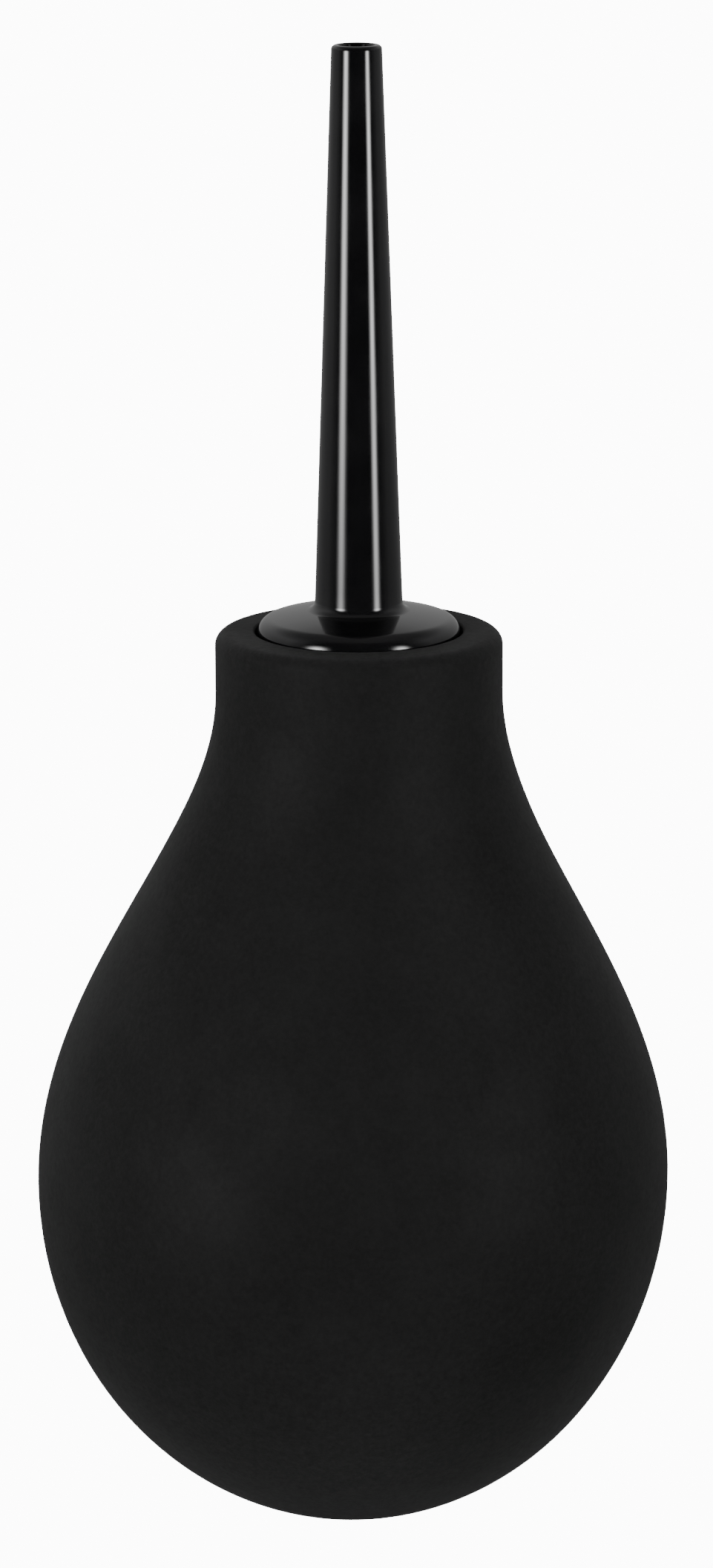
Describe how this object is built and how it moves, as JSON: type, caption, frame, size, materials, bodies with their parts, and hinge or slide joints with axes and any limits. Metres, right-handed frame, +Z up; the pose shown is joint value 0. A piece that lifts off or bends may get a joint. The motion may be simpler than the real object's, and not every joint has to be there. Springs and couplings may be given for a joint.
{
  "type": "hand bulb blower",
  "caption": "Soft black squeeze bulb with a thick round neck and a long, slim, glossy tapered nozzle that screws into it.",
  "frame": {"origin": "middle of the flat foot that the bulb stands on", "axes": "+Z up along the axis of the bulb and the nozzle; the bulb is round about it"},
  "size_m": [0.085, 0.085, 0.1971],
  "materials": {
    "soft_rubber": "soft-touch matt",
    "bush_plastic": "moulded",
    "seal_rubber": "smooth",
    "nozzle_plastic": "polished"
  },
  "bodies": {
    "bulb": {"bulb": "soft_rubber", "neck_bush": "bush_plastic"},
    "seal": {"sealing_ring": "seal_rubber"},
    "nozzle": {"nozzle": "nozzle_plastic"}
  },
  "joints": [
    {"name": "nozzle_lift", "type": "slide", "parent": "bulb", "child": "seal", "axis": [0, 0, 1], "range_m": [0, 0.00801]},
    {"name": "nozzle_turn", "type": "hinge", "parent": "seal", "child": "nozzle", "pos_m": [0, 0, 0.1181], "axis": [0, 0, 1], "range_deg": [0, 720]}
  ],
  "couplings": [
    {"joint": "nozzle_lift", "follows": "nozzle_turn", "m_per_rad": 0.00063662}
  ]
}
